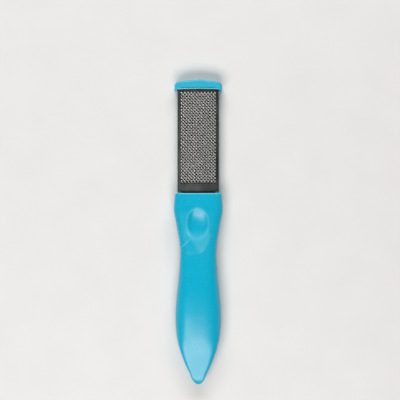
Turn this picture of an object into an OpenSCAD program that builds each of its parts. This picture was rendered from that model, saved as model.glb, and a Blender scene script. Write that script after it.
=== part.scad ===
// Double-sided foot file: an arched punched rasp plate on the front and an emery sheet on the back
// of a moulded carrier, whose tang is trapped between the two shells of the handle.
// The file lies on its back. +Y runs from the tail to the cap, +Z is the side with the rasp, and
// the origin is under the middle of the whole length. All sizes are in millimetres.

/* [Length] */
// Length of the handle, from the tail to the mouth
handle_len = 113; // [95:1:130]
// Length of the head, from the mouth to the end of the cap
head_len = 67; // [55:1:85]

/* [Handle outline] */
// Width at the mouth
mouth_w = 27.4; // [24:0.1:34]
// Width at the shoulders, the widest part
shoulder_w = 28.9; // [25:0.1:36]
// Width at the waist, the narrowest part
waist_w = 21.3; // [18:0.1:25]
// Width of the palm swell
palm_w = 26.9; // [22:0.1:32]
// Length of the rounded end of the tail
tail_round = 4.5; // [3:0.5:8]

/* [Handle thickness, from the parting plane] */
// Front height at the mouth
mouth_front = 4.9; // [4:0.1:7]
// Front height at the shoulders
shoulder_front = 6.1; // [5:0.1:8]
// Front height at the waist
waist_front = 5.7; // [5:0.1:8]
// Front height of the palm swell
palm_front = 8.3; // [6:0.1:11]
// Front height of the tail
tail_front = 1.5; // [1.3:0.1:4]
// Back depth at the mouth
mouth_back = 5.4; // [4:0.1:6.2]
// Back depth at the waist
waist_back = 5; // [4:0.1:6.2]
// Back depth of the palm swell, which sets the height of the parting plane
palm_back = 6.2; // [5.5:0.1:8]
// Back depth of the tail
tail_back = 2.2; // [1.5:0.1:4]

/* [Handle shells] */
// Wall of the shells
shell_wall = 2.2; // [1.6:0.1:3]
// Wall at the mouth, around the tang
mouth_wall = 2.5; // [1.5:0.1:5]
// Solid length at the tail
tail_solid = 14; // [10:0.5:20]
// Rounding of the mouth's edge
mouth_edge_r = 0.6; // [0.2:0.1:1.2]
// Thickness of the ribs
rib_t = 1.4; // [0.8:0.1:2.5]
// Diameter of the posts and tubes that align the shells
post_d = 5.6; // [5:0.1:7]
// Diameter of the pegs
peg_d = 3.2; // [2.4:0.1:3.6]
// Length of the pegs beyond their posts
peg_len = 3.5; // [2.5:0.1:3.6]
// Gap between a post and its tube
post_gap = 0.3; // [0.1:0.05:0.6]
// Radial clearance of a peg in its tube
peg_clr = 0.05; // [0.03:0.01:0.15]

/* [Thumb rest] */
// Width of the scoop
thumb_w = 11.8; // [9:0.1:14]
// Length of the scoop
thumb_len = 17.2; // [11:0.1:20]
// Depth of the scoop
thumb_depth = 1.5; // [0.6:0.05:1.8]
// Height of the rim round the scoop
thumb_rim = 0.2; // [0.1:0.05:0.8]
// Width of the rim
thumb_rim_w = 1.2; // [1:0.1:2.4]
// Distance from the mouth to the middle of the scoop
thumb_from_mouth = 17.7; // [14:0.1:24]
// Sideways offset of the scoop
thumb_x = -0.4; // [-2:0.1:2]
// Radius of the tongue below the scoop
tongue_r = 12.9; // [10:0.1:16]
// Height of the tongue
tongue_h = 0.6; // [0.3:0.05:1.5]
// Width of the slope round the tongue
tongue_bevel = 1.6; // [1:0.1:3]

/* [Carrier] */
// Thickness of the carrier under the crown of the plate
core_h = 7; // [6:0.1:9]
// Height of the foot of the carrier, below the folded edges of the plate
core_foot_h = 2; // [1.2:0.1:2.6]
// Step of the foot inside the width of the plate
core_foot_step = 0.2; // [0:0.05:0.6]
// Length of the tang
tang_len = 43; // [30:1:50]
// Depth of the notch that takes the turned-down end of the plate
notch_depth = 1.8; // [1.7:0.1:2.5]
// Width of the corner lugs beside the notch
lug_w = 1.7; // [1:0.1:2.5]
// Height of the lugs above the crown of the plate
lug_rise = 0.5; // [0:0.1:1]
// Bevel of the lugs' top edges
lug_bevel = 0.4; // [0.2:0.1:0.7]
// Wall of the carrier beside the teeth
core_wall = 1.2; // [0.8:0.1:1.6]
// Gap between the ribs of the carrier and the teeth's holes
rib_drop = 1.6; // [0.8:0.1:2.4]
// Floor left under the hollows
core_floor = 2.4; // [1.6:0.1:3.5]
// Wall between the hollows
core_rib = 1.6; // [1:0.1:2.5]
// Largest length of a hollow
hollow_len = 8; // [5:0.5:15]

/* [Rasp plate] */
// Width over the folded edges
plate_w = 24.8; // [20:0.1:30]
// Thickness of the steel
plate_t = 0.5; // [0.3:0.05:0.8]
// Rise of the arch
plate_rise = 1.3; // [0.8:0.1:2]
// Outer radius of the folds
plate_bend = 1.2; // [1:0.1:1.8]
// Width of the hems turned into the carrier
plate_hem = 1.4; // [1:0.1:2]
// Depth of the turned-down end
flange_drop = 1.5; // [1:0.1:1.6]
// Gap between the plate and the mouth of the handle
plate_gap = 0.9; // [0.5:0.1:3]
// Pitch of the teeth in a row
tooth_pitch = 2; // [1.6:0.1:3]
// Height of the teeth
tooth_h = 0.45; // [0.2:0.05:0.5]
// Plain strip below the first row, at the handle
foot_strip = 6; // [3:0.1:10]
// Plain strip above the last row, at the cap
head_strip = 5.3; // [4:0.1:10]

/* [End cap] */
// Side wall of the cap
cap_wall = 1.4; // [1:0.1:2.5]
// Floor under the carrier
cap_floor = 0.9; // [0.7:0.1:1.5]
// Lip over the plate
cap_lip_t = 0.8; // [0.7:0.1:1.5]
// Wall at the end
cap_end_wall = 2.6; // [2:0.1:4]
// Length of the lip in the middle
cap_len = 5.5; // [4.2:0.1:8]
// Length of the ears past the corners of the lip
cap_ear = 0.9; // [0.4:0.1:2]
// Rise of the curved end
cap_arch = 2; // [1:0.1:2.5]
// Rise of the curved lip
lip_arch = 0.3; // [0.2:0.1:1.5]
// Radius of the plan corners
cap_corner_r = 2.5; // [1:0.1:3]
// Radius of the long top edges
cap_edge_r = 1.6; // [1:0.1:2.5]
// Bevel of the bottom edges
cap_bevel = 0.6; // [0.3:0.1:1]
// Distance from the lip's edge to the groove
groove_from_lip = 0.6; // [0.3:0.05:1]
// Width of the groove along the lip
groove_w = 0.4; // [0.2:0.05:0.6]
// Depth of the groove
groove_depth = 0.3; // [0.1:0.05:0.4]
// Length of the groove
groove_len = 19.6; // [12:0.1:22]
// Radius of the snap ridge
snap_r = 0.5; // [0.3:0.05:0.6]
// Length of the snap ridge
snap_len = 10; // [6:0.5:16]

/* [Emery side] */
// Width of the emery sheet
emery_w = 21.6; // [16:0.1:23]
// Thickness of the emery sheet
emery_t = 0.5; // [0.3:0.05:0.7]
// Corner radius of the sheet
emery_corner_r = 3; // [1:0.1:6]
// Margin between the sheet and the handle or the cap
emery_margin = 2.2; // [1:0.1:6]
// Thickness of the tape
tape_t = 0.1; // [0.05:0.05:0.15]
// Inset of the tape from the edge of the sheet
tape_inset = 0.6; // [0.2:0.1:2]

/* [Clearances] */
// Gap between the cap and what it covers
fit_clr = 0.2; // [0.1:0.05:0.4]
// Gap between the carrier and the plate's edges, and round the tang
slip_clr = 0.1; // [0.05:0.01:0.2]

/* [Hidden] */
over = 0.5; // overrun of every cut

// Places along the length
tail_y = -(handle_len + head_len) / 2;
mouth_y = tail_y + handle_len;
cap_end_y = mouth_y + head_len;
cavity_y0 = tail_y + tail_solid;
cavity_y1 = mouth_y - mouth_wall;
pocket_y = cap_end_y - cap_end_wall;
lip_y = cap_end_y - cap_len;
ear_y = lip_y - lip_arch - cap_ear;
plate_y0 = mouth_y + plate_gap;
plate_y1 = pocket_y - fit_clr;
tang_y0 = mouth_y - tang_len;

// Heights
parting_z = palm_back;
core_z = cap_floor + fit_clr;
plate_top_z = core_z + core_h + plate_t;
hem_z = core_z + core_foot_h + slip_clr;
notch_z = plate_top_z - notch_depth;
cap_top_z = plate_top_z + fit_clr + cap_lip_t;

// Widths
cap_inner_w = plate_w + 2 * fit_clr;
cap_w = cap_inner_w + 2 * cap_wall;

// Handle outline: places as shares of the handle's length from the tail, with half widths there.
// Those between the tail and the palm swell are shares of the palm swell's half width.
tail_width_shares = [0.24, 0.335, 0.555, 0.735, 0.865, 0.965];
neck_width_share = 0.88; // on the way from the waist to the shoulders, of the shoulders' half width
width_stations = [
    [0, tail_width_shares[0] * palm_w / 2],
    [0.045, tail_width_shares[1] * palm_w / 2],
    [0.1, tail_width_shares[2] * palm_w / 2],
    [0.155, tail_width_shares[3] * palm_w / 2],
    [0.205, tail_width_shares[4] * palm_w / 2],
    [0.27, tail_width_shares[5] * palm_w / 2],
    [0.35, palm_w / 2],
    [0.69, waist_w / 2],
    [0.825, neck_width_share * shoulder_w / 2],
    [0.92, shoulder_w / 2],
    [1, mouth_w / 2],
];

// Heights of the front above the parting plane, in the same way
tail_front_shares = [0.52, 0.69, 0.82, 0.92, 0.98];
crest_share = 0.44;
front_stations = [
    [0, tail_front],
    [0.14, tail_front_shares[0] * palm_front],
    [0.205, tail_front_shares[1] * palm_front],
    [0.26, tail_front_shares[2] * palm_front],
    [0.32, tail_front_shares[3] * palm_front],
    [0.38, tail_front_shares[4] * palm_front],
    [crest_share, palm_front],
    [0.69, waist_front],
    [0.9, shoulder_front],
    [1, mouth_front],
];

// Depths of the back below the parting plane
tail_back_share = 0.78;
back_stations = [
    [0, tail_back],
    [0.17, tail_back_share * palm_back],
    [0.37, palm_back],
    [0.69, waist_back],
    [1, mouth_back],
];

// How square the sections are along the length: 2 is an ellipse, and more is squarer
front_squares = [[0, 5], [0.15, 4.8], [0.205, 3.8], [0.26, 2.7], [0.32, 2.5], [0.5, 2.5], [0.69, 3],
                 [1, 4]];
back_squares = [[0, 2.5], [1, 2.5]];
least_square = min([for (s = concat(front_squares, back_squares)) s[1]]);

function section_z(u, square) = pow(max(0, 1 - pow(abs(u), square)), 1 / square);

// The tang is as wide and as thick as the cavity lets it be from the mouth to the waist
tang_w_share = 0.72;
tang_w = 2 * tang_w_share * (min(waist_w, mouth_w) / 2 - shell_wall);
tang_room = min(mouth_back, waist_back, mouth_front, waist_front, shoulder_front) - shell_wall;
tang_t = 2 * (section_z(tang_w_share, least_square) * tang_room - slip_clr);

// Posts, as shares of the tang's length from the mouth and of the handle's length from the tail
tang_post_shares = [0.27, 0.8];
palm_post_shares = [0.22, 0.42];
tang_rib_shares = [0.12, 0.55];
palm_rib_shares = [0.16, 0.3, 0.52];
rib_depth_share = 0.45; // where a palm rib ends, as a share of the height of the section

// Grids of the faceted surfaces
tail_steps = 6;
edge_steps = 3;
front_columns = 28;
back_columns = 18;
cavity_columns = 14;
rib_columns = 12;
bend_steps = 3;
arch_steps = 16;

function sum_of(list, i = 0) = i < len(list) ? list[i] + sum_of(list, i + 1) : 0;
function flipped(list) = [for (i = [len(list) - 1:-1:0]) list[i]];
function mirrored_x(list) = [for (p = list) [-p[0], p[1]]];
function spaced(a, b, n) = [for (i = [1:n]) a + (b - a) * i / n];

// A smooth curve through stations [place, value], level at each station where it turns
function chord(t, i) = (t[i + 1][1] - t[i][1]) / (t[i + 1][0] - t[i][0]);
function tangent(t, i) =
    i == 0 ? chord(t, 0) :
    i == len(t) - 1 ? chord(t, i - 1) :
    let (a = chord(t, i - 1), b = chord(t, i)) a * b > 0 ? 2 * a * b / (a + b) : 0;
function span_at(t, s, i = 0) = i < len(t) - 2 && s > t[i + 1][0] ? span_at(t, s, i + 1) : i;
function curve(t, s) =
    let (i = span_at(t, s), w = t[i + 1][0] - t[i][0], q = (s - t[i][0]) / w, r = 1 - q)
    t[i][1] * r * r * (1 + 2 * q) + t[i + 1][1] * q * q * (3 - 2 * q)
    + w * q * r * (tangent(t, i) * r - tangent(t, i + 1) * q);

// Half width and heights of the handle at a place y, with the round tail and the mouth's edge
function share_at(y) = (y - tail_y) / handle_len;
function tail_fade(y) = let (q = min(1, (y - tail_y) / tail_round)) sqrt(1 - pow(1 - q, 2));
function edge_inset(y) =
    let (q = max(0, (y - mouth_y + mouth_edge_r) / mouth_edge_r))
    mouth_edge_r * (1 - sqrt(1 - min(1, q * q)));
function half_w(y) = curve(width_stations, share_at(y)) * tail_fade(y) - edge_inset(y);
function height(stations, y) = curve(stations, share_at(y)) * tail_fade(y) - edge_inset(y);
function square_at(squares, y) = curve(squares, share_at(y));

// Relief of the thumb rest: a flat-bottomed scoop with sloping ends, its rim, and a tongue below it whose
// top falls away evenly. An arc bounds the tongue on its right and below, and a slanting edge on its
// upper left. Places are from the middle of the scoop, as shares of the tongue's radius.
thumb_y = mouth_y - thumb_from_mouth;
arc_middle_shares = [-0.357, -0.488];
end_middle_shares = [0.023, -0.558];
end_r_share = 0.953;
edge_point_shares = [-0.442, -0.802];
edge_angle = 136; // direction that the slanting edge faces
tongue_low_share = 1.457; // where its top would meet the handle
tongue_rise_share = 0.62; // how far from the slanting edge it reaches its height
scoop_slope_share = 0.72; // length of a sloping end, of half the scoop
scoop_blend_share = 0.35;
scoop_power = 2.4; // of its cross-section
scoop_inside_share = 0.5; // how far the wall's inside follows it
function smooth(q) = let (c = min(1, max(0, q))) c * c * (3 - 2 * c);
function soft_min(a, b, blend) =
    let (q = min(1, max(0, 0.5 + (b - a) / (2 * blend)))) b + (a - b) * q - blend * q * (1 - q);
function scoop(u, v) = norm([u, v]) >= 1 ? 0 :
    -thumb_depth * soft_min((1 - abs(v)) / scoop_slope_share, 1, scoop_blend_share)
    * (1 - pow(abs(u) / sqrt(1 - v * v), scoop_power));
function scoop_at(x, y) = scoop(2 * (x - thumb_x) / thumb_w, 2 * (y - thumb_y) / thumb_len);
function rim(dx, dy) =
    let (a = thumb_w / 2, b = thumb_len / 2, d = norm([dx / a, dy / b]))
    let (from_rim = (d - 1) * min(a, b) - thumb_rim_w / 2)
    thumb_rim * exp(-pow(from_rim / (thumb_rim_w / 2), 2));
function tongue(dx, dy) =
    let (from_arc = tongue_r - norm([dx, dy] - tongue_r * arc_middle_shares))
    let (from_end = end_r_share * tongue_r - norm([dx, dy] - tongue_r * end_middle_shares))
    let (from_edge = -([dx, dy] - tongue_r * edge_point_shares) * [cos(edge_angle), sin(edge_angle)])
    let (fall = (dy + tongue_low_share * tongue_r) / (tongue_low_share * tongue_r - thumb_len / 2))
    let (edge = min(from_arc, from_end) / tongue_bevel)
    tongue_h * min(1, max(0, fall), max(0, edge)) * smooth(-2 * dy / thumb_len)
    * smooth(from_edge / (tongue_rise_share * tongue_r));
function thumb_relief(x, y) =
    let (dx = x - thumb_x, dy = y - thumb_y)
    scoop_at(x, y) + rim(dx, dy) + tongue(dx, dy) * smooth(norm([2 * dx / thumb_w, 2 * dy / thumb_len]));

// Places of the rings of each shell. The front has one on its crest and close ones over the thumb rest.
crest_y = tail_y + crest_share * handle_len;
relief_y0 = thumb_y - tongue_low_share * tongue_r;
relief_y1 = thumb_y + thumb_len / 2 + 2 * thumb_rim_w;
tail_rings = [for (i = [1:tail_steps]) tail_y + tail_round * (1 - cos(90 * i / tail_steps))];
mouth_rings = [for (i = [0:edge_steps]) mouth_y - mouth_edge_r * (1 - sin(90 * i / edge_steps))];
tail_count = 4;
front_counts = [12, 9, 24, 4];
back_count = 30;
front_rings = concat(
    tail_rings,
    spaced(tail_y + tail_round, cavity_y0, tail_count),
    spaced(cavity_y0, crest_y, front_counts[0]),
    spaced(crest_y, relief_y0, front_counts[1]),
    spaced(relief_y0, relief_y1, front_counts[2]),
    spaced(relief_y1, cavity_y1, front_counts[3]),
    mouth_rings
);
back_rings = concat(
    tail_rings,
    spaced(tail_y + tail_round, cavity_y0, tail_count),
    spaced(cavity_y0, cavity_y1, back_count),
    mouth_rings
);

// One shell above the parting plane, open below: rings is its list of places, stations its heights,
// and relief adds the thumb rest to the outside
module shell(rings, stations, squares, columns, relief) {
    first = tail_steps + tail_count - 1;
    last = len(rings) - edge_steps - 2;
    top = len(rings) - 1;
    n = columns;
    m = cavity_columns;
    outer = [
        for (y = rings, k = [0:n])
        let (u = sin(180 * k / n - 90), x = u * half_w(y), z = section_z(u, square_at(squares, y)))
        [x, y, k == 0 || k == n ? 0 : z * height(stations, y) + (relief ? thumb_relief(x, y) : 0)]
    ];
    inner = [
        for (j = [first:last], k = [0:m])
        let (y = rings[j], u = sin(180 * k / m - 90), x = u * (half_w(y) - shell_wall))
        [x, y, k == 0 || k == m ? 0 :
            section_z(u, square_at(squares, y)) * (height(stations, y) - shell_wall)
            + (relief ? scoop_inside_share * scoop_at(x, y) : 0)]
    ];
    pole = len(outer) + len(inner);
    function o(j, k) = j * (n + 1) + k;
    function c(j, k) = len(outer) + (j - first) * (m + 1) + k;
    faces = concat(
        [for (k = [0:n - 1]) [pole, o(0, k), o(0, k + 1)]],
        [[pole, o(0, n), o(0, 0)]],
        [for (j = [0:top - 1], k = [0:n - 1]) each [
            [o(j, k), o(j + 1, k), o(j + 1, k + 1)], [o(j, k), o(j + 1, k + 1), o(j, k + 1)]]],
        [for (k = [1:n - 1]) [o(top, 0), o(top, k + 1), o(top, k)]],
        [for (j = [0:top - 1]) if (j < first - 1 || j > last) each [
            [o(j, 0), o(j, n), o(j + 1, n)], [o(j, 0), o(j + 1, n), o(j + 1, 0)]]],
        [[o(first - 1, n), o(first, n), c(first, m)], [o(first - 1, n), c(first, m), c(first, 0)],
         [o(first - 1, n), c(first, 0), o(first, 0)], [o(first - 1, n), o(first, 0), o(first - 1, 0)]],
        [[o(last + 1, 0), o(last, 0), c(last, 0)], [o(last + 1, 0), c(last, 0), c(last, m)],
         [o(last + 1, 0), c(last, m), o(last, n)], [o(last + 1, 0), o(last, n), o(last + 1, n)]],
        [for (j = [first:last - 1]) each [
            [o(j, 0), c(j, 0), c(j + 1, 0)], [o(j, 0), c(j + 1, 0), o(j + 1, 0)],
            [c(j, m), o(j, n), o(j + 1, n)], [c(j, m), o(j + 1, n), c(j + 1, m)]]],
        [for (j = [first:last - 1], k = [0:m - 1]) each [
            [c(j, k), c(j + 1, k + 1), c(j + 1, k)], [c(j, k), c(j, k + 1), c(j + 1, k + 1)]]],
        [for (k = [1:m - 1]) each [
            [c(first, 0), c(first, k + 1), c(first, k)], [c(last, 0), c(last, k), c(last, k + 1)]]]
    );
    polyhedron(points = concat(outer, inner, [[0, tail_y, 0]]), faces = faces);
}

// A cross rib from the middle of the wall down to the height low
module rib(y, low, stations, squares) {
    w = half_w(y) - shell_wall / 2;
    h = height(stations, y) - shell_wall / 2;
    square = square_at(squares, y);
    reach = section_z(low / h, square);
    translate([0, y, 0])
        rotate([90, 0, 0])
            linear_extrude(rib_t, center = true)
                polygon([for (k = [0:rib_columns])
                    let (u = reach * sin(180 * k / rib_columns - 90)) [u * w, section_z(u, square) * h]]);
}

module ribs(stations, squares) {
    for (s = tang_rib_shares)
        rib(mouth_y - s * tang_len, tang_t / 2 + slip_clr, stations, squares);
    for (s = palm_rib_shares)
        let (y = tail_y + s * handle_len)
            rib(y, rib_depth_share * height(stations, y), stations, squares);
}

module tang_slot() {
    translate([-tang_w / 2 - slip_clr, cavity_y1 - over, -over])
        cube([tang_w + 2 * slip_clr, mouth_wall + 2 * over, over + tang_t / 2 + slip_clr]);
}

// Posts: [place, seat], where the seat is the height of the post's end above the parting plane
posts = concat(
    [for (s = tang_post_shares) [mouth_y - s * tang_len, tang_t / 2 + slip_clr]],
    [for (s = palm_post_shares) [tail_y + s * handle_len, post_gap]]
);

module handle_front() {
    color("#10aed0")
        translate([0, 0, parting_z])
            difference() {
                union() {
                    shell(front_rings, front_stations, front_squares, front_columns, true);
                    ribs(front_stations, front_squares);
                    for (p = posts)
                        translate([0, p[0], p[1]]) {
                            reach = height(front_stations, p[0]) - shell_wall / 2;
                            cylinder(d = post_d, h = reach - p[1], $fn = 48);
                            translate([0, 0, -peg_len])
                                cylinder(d = peg_d, h = peg_len + over, $fn = 48);
                        }
                }
                tang_slot();
            }
}

module handle_back() {
    color("#10aed0")
        translate([0, 0, parting_z])
            mirror([0, 0, 1])
                difference() {
                    union() {
                        shell(back_rings, back_stations, back_squares, back_columns, false);
                        ribs(back_stations, back_squares);
                        for (p = posts)
                            let (reach = height(back_stations, p[0]) - shell_wall / 2)
                                translate([0, p[0], post_gap - p[1]])
                                    cylinder(d = post_d, h = reach - post_gap + p[1], $fn = 48);
                    }
                    tang_slot();
                    for (p = posts)
                        translate([0, p[0], post_gap - p[1] - over])
                            cylinder(d = peg_d + 2 * peg_clr, h = peg_len + over, $fn = 48);
                }
}

// An arch of a given width and rise has this radius
function arch_r(w, rise) = (w * w / 4 + rise * rise) / (2 * rise);
// Its middle lies at height top, and its ends turn down with the radius bend
function bend_x(w, bend) = w / 2 - bend;
function bend_z(w, top, r, bend) = top - r + sqrt(pow(r - bend, 2) - pow(bend_x(w, bend), 2));
function bend_slope(w, r, bend) = asin(bend_x(w, bend) / (r - bend));
// Right half of such an arch's corner, from the arch to the upright side, drawn inset by t
function bend_points(w, top, r, bend, t = 0) = [
    for (i = [0:bend_steps])
    let (a = (90 - bend_slope(w, r, bend)) * (1 - i / bend_steps))
    [bend_x(w, bend) + (bend - t) * cos(a), bend_z(w, top, r, bend) + (bend - t) * sin(a)]
];
// The whole top line from left to right
function arched(w, top, rise, bend) =
    let (r = arch_r(w, rise), a = bend_slope(w, r, bend), right = bend_points(w, top, r, bend))
    concat(
        flipped(mirrored_x(right)),
        [for (i = [1:arch_steps - 1])
            let (b = a * (2 * i / arch_steps - 1)) [r * sin(b), top - r + r * cos(b)]],
        right
    );

// Rasp plate: rows of points along the plate, whose columns follow the teeth
half_pitch = tooth_pitch / 2;
plate_r = arch_r(plate_w, plate_rise);
// Columns of the lattice from the middle to the border, and its rows
field_half = floor((bend_x(plate_w, plate_bend) - slip_clr) / half_pitch);
field_rows = round((plate_y1 - plate_y0 - foot_strip - head_strip) / half_pitch) + 2;
function field_xz(i, t) =
    let (x = i * half_pitch, k = (plate_r - t) / plate_r)
    [k * x, plate_top_z - plate_r + k * sqrt(plate_r * plate_r - x * x)];
function wing(t) = concat(
    bend_points(plate_w, plate_top_z, plate_r, plate_bend, t),
    [[plate_w / 2 - t, hem_z + t], [plate_w / 2 - plate_hem, hem_z + t]]
);
function plate_line(t) = concat(
    flipped(mirrored_x(wing(t))),
    [for (i = [-field_half:field_half]) field_xz(i, t)],
    wing(t)
);

module rasp_plate() {
    outer = plate_line(0);
    inner = plate_line(plate_t);
    n = len(outer);
    left = bend_steps + 3; // the field's first column
    wide = 2 * field_half + 1;
    right = left + wide - 1;
    f0 = left + 2; // the turned-down end's first and last columns
    f1 = right - 2;
    nf = f1 - f0 + 1;
    function at(line, y) = [for (p = line) [p[0], y, p[1]]];
    function tooth(i, j) = abs(i) < field_half && j > 0 && j < field_rows && (i + j + field_rows) % 2 == 1;
    field = [
        for (j = [0:field_rows], i = [-field_half:field_half])
        let (p = field_xz(i, 0), y = plate_y0 + foot_strip + (j - 1) * half_pitch)
        [p[0], y, p[1] + (tooth(i, j) ? tooth_h : 0)]
    ];
    flange = [
        for (c = [f0:f1]) each [
            [inner[c][0], plate_y0, outer[c][1] - flange_drop],
            [inner[c][0], plate_y0 + plate_t, outer[c][1] - flange_drop],
            [inner[c][0], plate_y0 + plate_t, inner[c][1]]]
    ];
    function a(c) = c;
    function b(c) = n + c;
    function ia(c) = 2 * n + c;
    function ib(c) = 3 * n + c;
    function g(j, c) = 4 * n + j * wide + c - left;
    function f(c, s) = 4 * n + (field_rows + 1) * wide + 3 * (c - f0) + s; // s is 0 outer, 1 inner, 2 root
    function raised(j, c) = (c - left - field_half + j + field_rows) % 2 != 0;
    faces = concat(
        // folded edges, outside
        [for (c = [0:n - 2]) if (c < left - 1 || c > right) each [
            [a(c), b(c), b(c + 1)], [a(c), b(c + 1), a(c + 1)]]],
        // between the folded edges and the field
        [[a(left - 1), b(left - 1), b(left)], [a(left - 1), b(left), g(field_rows, left)],
         [a(left - 1), g(0, left), a(left)]],
        [for (j = [0:field_rows - 1]) [a(left - 1), g(j + 1, left), g(j, left)]],
        [[a(right + 1), a(right), g(0, right)], [a(right + 1), g(field_rows, right), b(right)],
         [a(right + 1), b(right), b(right + 1)]],
        [for (j = [0:field_rows - 1]) [a(right + 1), g(j, right), g(j + 1, right)]],
        // plain strips
        [for (c = [left:right - 1]) each [
            [a(c), g(0, c), g(0, c + 1)], [a(c), g(0, c + 1), a(c + 1)],
            [g(field_rows, c), b(c), b(c + 1)], [g(field_rows, c), b(c + 1), g(field_rows, c + 1)]]],
        // teeth
        [for (j = [0:field_rows - 1], c = [left:right - 1]) each (raised(j, c) ?
            [[g(j, c), g(j + 1, c), g(j, c + 1)], [g(j + 1, c), g(j + 1, c + 1), g(j, c + 1)]] :
            [[g(j, c), g(j + 1, c), g(j + 1, c + 1)], [g(j, c), g(j + 1, c + 1), g(j, c + 1)]])],
        // inside
        [for (c = [0:n - 2]) if (c < f0 - 1 || c > f1) each [
            [ia(c), ib(c + 1), ib(c)], [ia(c), ia(c + 1), ib(c + 1)]]],
        [for (c = [f0:f1 - 1]) each [
            [f(c, 2), ib(c + 1), ib(c)], [f(c, 2), f(c + 1, 2), ib(c + 1)]]],
        [[ia(f0 - 1), ia(f0), f(f0, 2)], [ia(f0 - 1), f(f0, 2), ib(f0)], [ia(f0 - 1), ib(f0), ib(f0 - 1)]],
        [[ia(f1 + 1), ib(f1 + 1), ib(f1)], [ia(f1 + 1), ib(f1), f(f1, 2)], [ia(f1 + 1), f(f1, 2), ia(f1)]],
        // edges of the hems
        [[b(0), a(0), ia(0)], [b(0), ia(0), ib(0)]],
        [[a(n - 1), b(n - 1), ib(n - 1)], [a(n - 1), ib(n - 1), ia(n - 1)]],
        // end at the handle, with the turned-down flange
        [for (c = [0:n - 2]) if (c < f0 || c >= f1) each [
            [a(c), a(c + 1), ia(c + 1)], [a(c), ia(c + 1), ia(c)]]],
        [for (c = [f0 + 1:f1 - 2]) each [
            [a(c), a(c + 1), f(c + 1, 0)], [a(c), f(c + 1, 0), f(c, 0)]]],
        [[a(f0 + 1), f(f0 + 1, 0), f(f0, 0)], [a(f0 + 1), f(f0, 0), ia(f0)], [a(f0 + 1), ia(f0), a(f0)]],
        [[a(f1 - 1), a(f1), ia(f1)], [a(f1 - 1), ia(f1), f(f1, 0)], [a(f1 - 1), f(f1, 0), f(f1 - 1, 0)]],
        [for (c = [f0:f1 - 1]) each [
            [f(c, 0), f(c + 1, 0), f(c + 1, 1)], [f(c, 0), f(c + 1, 1), f(c, 1)],
            [f(c, 1), f(c + 1, 1), f(c + 1, 2)], [f(c, 1), f(c + 1, 2), f(c, 2)]]],
        [[ia(f0), f(f0, 0), f(f0, 1)], [ia(f0), f(f0, 1), f(f0, 2)]],
        [[ia(f1), f(f1, 2), f(f1, 1)], [ia(f1), f(f1, 1), f(f1, 0)]],
        // end at the cap
        [for (c = [0:n - 2]) each [
            [b(c), ib(c), ib(c + 1)], [b(c), ib(c + 1), b(c + 1)]]]
    );
    color("#b4b6b6")
        polyhedron(points = concat(at(outer, plate_y0), at(outer, plate_y1), at(inner, plate_y0),
                                   at(inner, plate_y1), field, flange), faces = faces);
}

// Carrier: its section has a foot, a groove for the hems and an arched top
core_side = plate_w / 2 - plate_t - slip_clr;
core_neck = plate_w / 2 - plate_hem - slip_clr;
core_foot = plate_w / 2 - core_foot_step;
core_right = [
    [core_foot, core_z],
    [core_foot, hem_z - slip_clr],
    [core_neck, hem_z - slip_clr],
    [core_neck, hem_z + plate_t + slip_clr],
    [core_side, hem_z + plate_t + slip_clr],
    [core_side, bend_z(plate_w, plate_top_z, plate_r, plate_bend)],
];
core_line = concat(
    core_right,
    [for (i = [field_half:-1:-field_half]) field_xz(i, plate_t)],
    flipped(mirrored_x(core_right))
);
lug_in = core_side - lug_w;
lug_top = plate_top_z + lug_rise;
notch_y = plate_y0 + plate_t + slip_clr;
hollow_y0 = notch_y + core_rib;
hollow_y1 = ear_y - core_rib;
hollow_rows = ceil((hollow_y1 - hollow_y0 + core_rib) / (hollow_len + core_rib));
hollow_step = (hollow_y1 - hollow_y0 + core_rib) / hollow_rows;
hollow_w = core_neck - core_rib / 2 - core_rib;
snap_y = (pocket_y + lip_y) / 2;

module along_y(y0, y1) {
    translate([0, y1, 0])
        rotate([90, 0, 0])
            linear_extrude(y1 - y0)
                children();
}

module snap(r) {
    translate([-snap_len / 2, snap_y, cap_floor])
        rotate([0, 90, 0])
            cylinder(r = r, h = snap_len, $fn = 48);
}

module lug() {
    along_y(mouth_y, plate_y0 - slip_clr)
        polygon([[lug_in, notch_z - over], [core_side, notch_z - over], [core_side, lug_top - lug_bevel],
                 [core_side - lug_bevel, lug_top], [lug_in + lug_bevel, lug_top],
                 [lug_in, lug_top - lug_bevel]]);
}

module rasp_core() {
    color("#13a5c4") {
        lug();
        mirror([1, 0, 0])
            lug();
        difference() {
            union() {
                along_y(mouth_y, plate_y1)
                    polygon(core_line);
                translate([-tang_w / 2, tang_y0, parting_z - tang_t / 2])
                    cube([tang_w, tang_len + over, tang_t]);
            }
            // notch for the turned-down end of the plate
            translate([-core_side - over, mouth_y, notch_z])
                cube([2 * (core_side + over), notch_y - mouth_y, core_h]);
            for (side = [0, 1], i = [0:hollow_rows - 1])
                mirror([side, 0, 0])
                    translate([core_rib / 2, hollow_y0 + i * hollow_step, core_z + core_floor])
                        cube([hollow_w, hollow_step - core_rib, core_h]);
            // open space under the teeth, above the ribs
            translate([core_wall - core_side, hollow_y0, plate_top_z - plate_t - rib_drop])
                cube([2 * (core_side - core_wall), hollow_y1 - hollow_y0, core_h]);
            for (s = tang_post_shares)
                translate([0, mouth_y - s * tang_len, parting_z - tang_t / 2 - over])
                    cylinder(d = post_d + 2 * slip_clr, h = tang_t + 2 * over, $fn = 48);
            snap(snap_r + slip_clr);
        }
    }
}

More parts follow.
